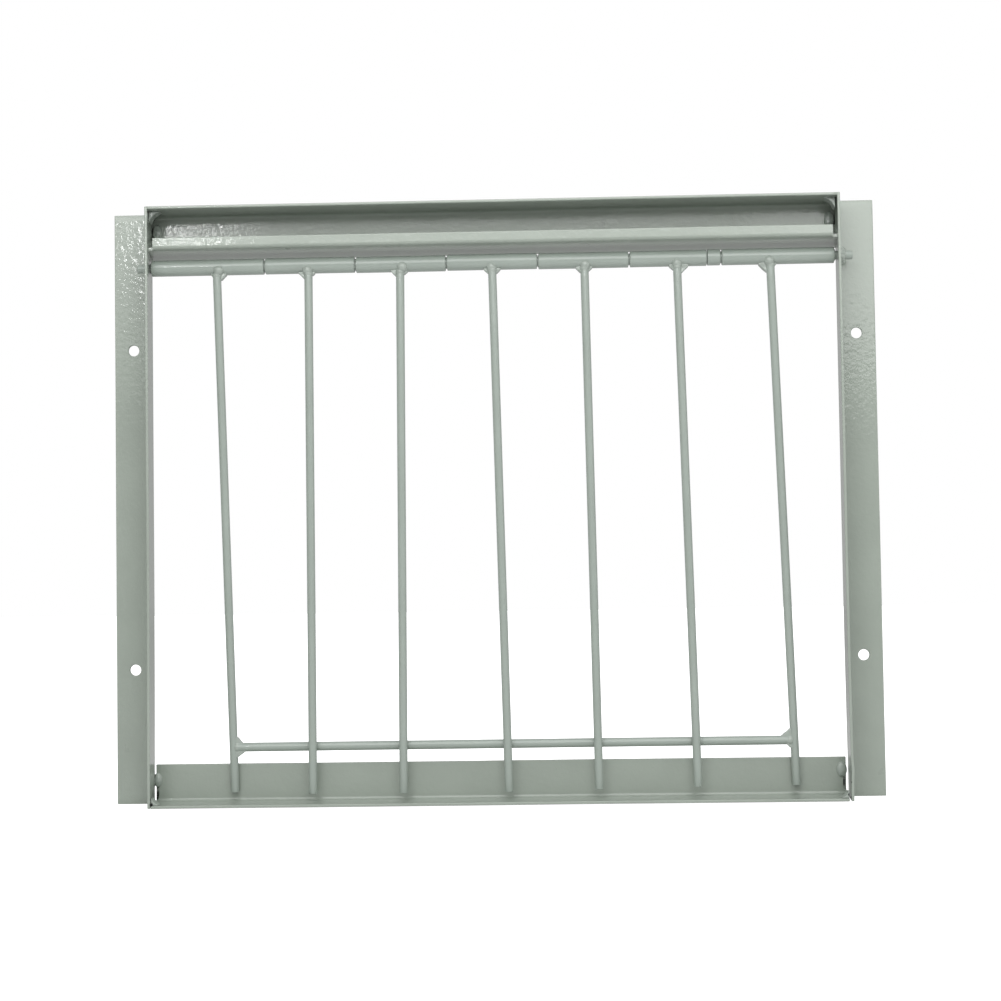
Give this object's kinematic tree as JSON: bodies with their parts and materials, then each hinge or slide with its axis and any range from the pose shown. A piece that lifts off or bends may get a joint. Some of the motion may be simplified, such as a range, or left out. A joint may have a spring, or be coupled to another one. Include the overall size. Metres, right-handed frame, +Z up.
{
  "type": "pigeon loft drop bar gate",
  "caption": "Shallow painted steel frame with side flanges; round bars hang from tubes on a hinge rod and rest against a stop plate, so they swing one way only.",
  "frame": {"origin": "middle of the bottom of the outer box: halfway between the side flanges, halfway through the depth, at the underside of the bottom rail", "axes": "+X along the hinge rod to the viewer's right, +Y from the open front with the swinging bars to the flanges at the wall, +Z up"},
  "size_m": [0.335, 0.02, 0.26],
  "materials": {
    "frame_paint": "gloss grey-green paint with a slight orange-peel texture",
    "bar_paint": "gloss grey-green paint",
    "weld_paint": "gloss grey-green paint over uneven weld"
  },
  "bodies": {
    "frame": {"left_side_rail": "frame_paint", "right_side_rail": "frame_paint", "top_rail": "frame_paint", "bottom_rail": "frame_paint", "hinge_rod": "bar_paint", "rod_weld": "weld_paint", "corner_weld_top_left": "weld_paint", "corner_weld_top_right": "weld_paint", "corner_weld_bottom_left": "weld_paint", "corner_weld_bottom_right": "weld_paint", "edge_weld_top_left": "weld_paint", "edge_weld_top_right": "weld_paint", "edge_weld_bottom_left": "weld_paint", "edge_weld_bottom_right": "weld_paint"},
    "outer_gate": {"hinge_tube_1": "bar_paint", "drop_bar_1": "bar_paint", "bar_weld_1": "weld_paint", "hinge_tube_7": "bar_paint", "drop_bar_7": "bar_paint", "bar_weld_7": "weld_paint", "crossbar": "bar_paint", "crossbar_weld_left": "weld_paint", "crossbar_weld_right": "weld_paint"},
    "inner_bar_2": {"hinge_tube_2": "bar_paint", "drop_bar_2": "bar_paint", "bar_weld_2": "weld_paint"},
    "inner_bar_3": {"hinge_tube_3": "bar_paint", "drop_bar_3": "bar_paint", "bar_weld_3": "weld_paint"},
    "inner_bar_4": {"hinge_tube_4": "bar_paint", "drop_bar_4": "bar_paint", "bar_weld_4": "weld_paint"},
    "inner_bar_5": {"hinge_tube_5": "bar_paint", "drop_bar_5": "bar_paint", "bar_weld_5": "weld_paint"},
    "inner_bar_6": {"hinge_tube_6": "bar_paint", "drop_bar_6": "bar_paint", "bar_weld_6": "weld_paint", "spacer_collar": "bar_paint"}
  },
  "joints": [
    {"name": "outer_gate_swing", "type": "hinge", "parent": "frame", "child": "outer_gate", "pos_m": [0, 0, 0.2343], "axis": [-1, 0, 0], "range_deg": [0, 104]},
    {"name": "inner_bar_2_swing", "type": "hinge", "parent": "outer_gate", "child": "inner_bar_2", "pos_m": [0, 0, 0.2343], "axis": [1, 0, 0], "range_deg": [-104, 0]},
    {"name": "inner_bar_3_swing", "type": "hinge", "parent": "outer_gate", "child": "inner_bar_3", "pos_m": [0, 0, 0.2343], "axis": [1, 0, 0], "range_deg": [-104, 0]},
    {"name": "inner_bar_4_swing", "type": "hinge", "parent": "outer_gate", "child": "inner_bar_4", "pos_m": [0, 0, 0.2343], "axis": [1, 0, 0], "range_deg": [-104, 0]},
    {"name": "inner_bar_5_swing", "type": "hinge", "parent": "outer_gate", "child": "inner_bar_5", "pos_m": [0, 0, 0.2343], "axis": [1, 0, 0], "range_deg": [-104, 0]},
    {"name": "inner_bar_6_swing", "type": "hinge", "parent": "outer_gate", "child": "inner_bar_6", "pos_m": [0, 0, 0.2343], "axis": [1, 0, 0], "range_deg": [-104, 0]}
  ]
}
